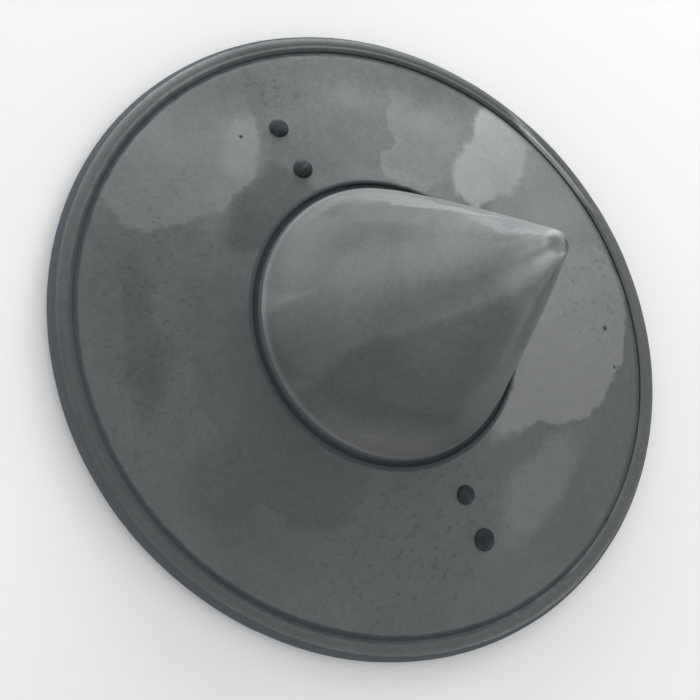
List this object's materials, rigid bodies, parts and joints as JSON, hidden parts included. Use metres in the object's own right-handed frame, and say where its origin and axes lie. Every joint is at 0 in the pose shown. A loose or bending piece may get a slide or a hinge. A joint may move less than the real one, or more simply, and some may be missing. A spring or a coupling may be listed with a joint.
{
  "type": "buckler shield",
  "caption": "Small round hand shield of beaten steel: a shallow dome with a rolled rim, a tall pointed hollow boss for the fist and a riveted bar grip behind it.",
  "frame": {"origin": "middle of the rim's underside, on the surface the shield lies on", "axes": "+Z along the shield's axis from the back to the boss's tip, +Y along the grip towards the upper rivets"},
  "size_m": [0.3008, 0.2992, 0.1594],
  "materials": {
    "plate_steel": "hammered, dull polished",
    "boss_steel": "raised by hammer, dull polished",
    "rim_steel": "rolled strip, worn",
    "grip_iron": "forged, dark",
    "rivet_iron": "blackened"
  },
  "bodies": {
    "root": {"shield_plate": "plate_steel", "rim_band": "rim_steel", "boss": "boss_steel", "grip": "grip_iron", "rivet_upper_inner": "rivet_iron", "rivet_upper_outer": "rivet_iron", "rivet_lower_inner": "rivet_iron", "rivet_lower_outer": "rivet_iron"}
  },
  "joints": []
}
